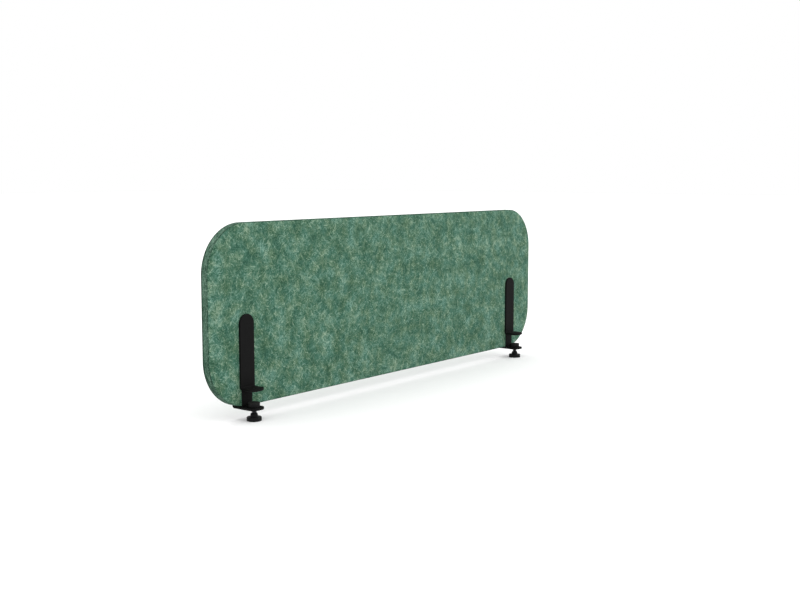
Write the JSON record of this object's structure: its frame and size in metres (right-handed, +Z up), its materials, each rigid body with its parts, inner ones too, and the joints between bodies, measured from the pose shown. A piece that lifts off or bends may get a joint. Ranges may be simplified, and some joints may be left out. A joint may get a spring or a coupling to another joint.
{
  "type": "desk privacy panel",
  "caption": "Long felt privacy screen with round corners, held on a desk's rear edge by black screw clamps with tall flat uprights.",
  "frame": {"origin": "on the desk: midway between the clamps, where the desk's rear edge face meets its top face", "axes": "+X along the board, +Y from the desk towards the rear of the board, +Z up"},
  "size_m": [1.6, 0.0869, 0.5375],
  "materials": {
    "pressed_felt": "mottled green pressed polyester felt",
    "powder_coated_steel": "fine matt black powder coat",
    "black_rubber": "matt",
    "moulded_nylon": "fine spark-eroded texture",
    "blackened_steel": "black oxide, slightly oily",
    "zinc_plated_steel": "bright zinc plate",
    "turned_aluminium": "as turned"
  },
  "bodies": {
    "root": {"felt_panel": "pressed_felt", "left_front_jaw": "powder_coated_steel", "left_rear_bracket": "powder_coated_steel", "left_stem": "powder_coated_steel", "left_jaw_liner": "black_rubber", "left_spacer_sleeves": "turned_aluminium", "left_fixing_screws": "blackened_steel", "left_fixing_washers": "blackened_steel", "left_threaded_bush": "zinc_plated_steel", "right_front_jaw": "powder_coated_steel", "right_rear_bracket": "powder_coated_steel", "right_stem": "powder_coated_steel", "right_jaw_liner": "black_rubber", "right_spacer_sleeves": "turned_aluminium", "right_fixing_screws": "blackened_steel", "right_fixing_washers": "blackened_steel", "right_threaded_bush": "zinc_plated_steel"},
    "left_pad": {"left_pressure_pad": "moulded_nylon", "left_pad_facing": "black_rubber"},
    "left_screw": {"left_clamp_spindle": "blackened_steel", "left_clamp_knob": "moulded_nylon"},
    "right_pad": {"right_pressure_pad": "moulded_nylon", "right_pad_facing": "black_rubber"},
    "right_screw": {"right_clamp_spindle": "blackened_steel", "right_clamp_knob": "moulded_nylon"}
  },
  "joints": [
    {"name": "left_clamp_lift", "type": "slide", "parent": "root", "child": "left_pad", "axis": [0, 0, 1], "range_m": [0, 0.009]},
    {"name": "left_knob_turn", "type": "hinge", "parent": "left_pad", "child": "left_screw", "pos_m": [-0.664, -0.0255, -0.06], "axis": [0, 0, 1], "range_deg": [0, 1080]},
    {"name": "right_clamp_lift", "type": "slide", "parent": "root", "child": "right_pad", "axis": [0, 0, 1], "range_m": [0, 0.009]},
    {"name": "right_knob_turn", "type": "hinge", "parent": "right_pad", "child": "right_screw", "pos_m": [0.664, -0.0255, -0.06], "axis": [0, 0, 1], "range_deg": [0, 1080]}
  ],
  "couplings": [
    {"joint": "left_clamp_lift", "follows": "left_knob_turn", "m_per_rad": 0.00047746},
    {"joint": "right_clamp_lift", "follows": "right_knob_turn", "m_per_rad": 0.00047746}
  ]
}
